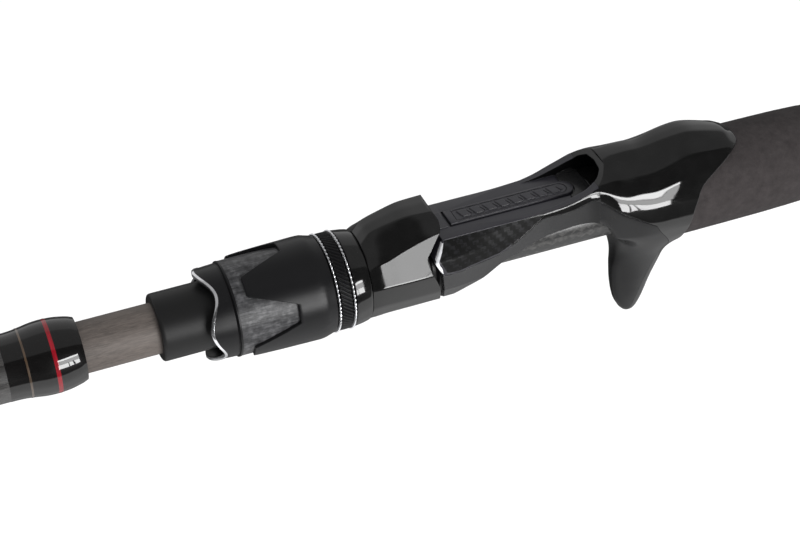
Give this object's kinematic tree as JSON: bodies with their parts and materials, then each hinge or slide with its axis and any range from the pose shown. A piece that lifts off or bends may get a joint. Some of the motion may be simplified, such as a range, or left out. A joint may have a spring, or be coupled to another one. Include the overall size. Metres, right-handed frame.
{
  "type": "baitcasting fishing rod",
  "caption": "Take-apart baitcasting fishing rod: trigger reel seat with a threaded nut and sliding hood, foam grips, and a tapering tip section with line guides.",
  "frame": {"origin": "middle of the flat strip that the reel foot stands on", "axes": "+X along the rod towards the butt, -X towards the tip, +Z out of the reel platform, trigger towards -Z"},
  "size_m": [1.6761, 0.0266, 0.0619],
  "materials": {
    "carbon_blank": "dark carbon fibre under a thin clear coat",
    "sanded_blank": "sanded carbon fibre, brown grey",
    "matte_black": "fine matte black",
    "satin_black": "satin black moulding",
    "gloss_black": "gloss black moulding",
    "platform_grey": "satin dark grey",
    "carbon_inlay": "carbon-pattern inlay",
    "eva_foam": "fine-grained foam",
    "polished_silver": "polished",
    "thread_coated": "thread binding under clear epoxy",
    "red_metal": "metallic red",
    "gold_thread": "metallic thread",
    "guide_metal": "dark plated",
    "ceramic_ring": "polished ceramic",
    "soft_pad": "soft lining"
  },
  "bodies": {
    "handle": {"blank_end_plug": "matte_black", "blank_front_plug": "matte_black", "butt_cap": "matte_black", "butt_grip": "eva_foam", "butt_grip_trim": "matte_black", "deck_strip": "platform_grey", "handle_blank": "sanded_blank", "palm_shell": "gloss_black", "rear_grip": "eva_foam", "rear_grip_trim": "matte_black", "seat_barrel": "satin_black", "seat_front_sleeve": "matte_black", "seat_platform": "platform_grey", "side_panel_left": "carbon_inlay", "side_panel_right": "carbon_inlay", "trigger_rail": "gloss_black"},
    "hood": {"hood_pad": "soft_pad", "hood_shell": "gloss_black"},
    "nut": {"nut_bead_front": "polished_silver", "nut_bead_rear": "polished_silver", "nut_carbon_sleeve": "carbon_inlay", "nut_core": "satin_black", "nut_crown": "satin_black", "nut_knurled_ring": "satin_black", "nut_rear_collar": "gloss_black", "nut_shroud": "satin_black"},
    "tip_section": {"ferrule_gold_ring": "gold_thread", "ferrule_red_ring": "red_metal", "ferrule_wrap": "thread_coated", "guide_1_frame": "guide_metal", "guide_1_ring": "ceramic_ring", "guide_1_wrap": "thread_coated", "guide_1_wrap_front": "thread_coated", "guide_2_frame": "guide_metal", "guide_2_ring": "ceramic_ring", "guide_2_wrap": "thread_coated", "guide_2_wrap_front": "thread_coated", "guide_3_frame": "guide_metal", "guide_3_ring": "ceramic_ring", "guide_3_wrap": "thread_coated", "guide_4_frame": "guide_metal", "guide_4_ring": "ceramic_ring", "guide_4_wrap": "thread_coated", "guide_5_frame": "guide_metal", "guide_5_ring": "ceramic_ring", "guide_5_wrap": "thread_coated", "guide_6_frame": "guide_metal", "guide_6_ring": "ceramic_ring", "guide_6_wrap": "thread_coated", "tip_blank": "carbon_blank", "tiptop_frame": "guide_metal", "tiptop_ring": "ceramic_ring", "tiptop_wrap": "thread_coated"}
  },
  "joints": [
    {"name": "hood_slide", "type": "slide", "parent": "handle", "child": "hood", "axis": [-1, 0, 0], "range_m": [0, 0.012]},
    {"name": "nut_turn", "type": "hinge", "parent": "hood", "child": "nut", "pos_m": [-0.0595, 0, -0.0102], "axis": [-1, 0, 0], "range_deg": [0, 1445]},
    {"name": "tip_section_pull", "type": "slide", "parent": "handle", "child": "tip_section", "axis": [-1, 0, 0], "range_m": [0, 0.09]}
  ],
  "couplings": [
    {"joint": "nut_turn", "follows": "hood_slide", "rad_per_m": 2094.4}
  ]
}
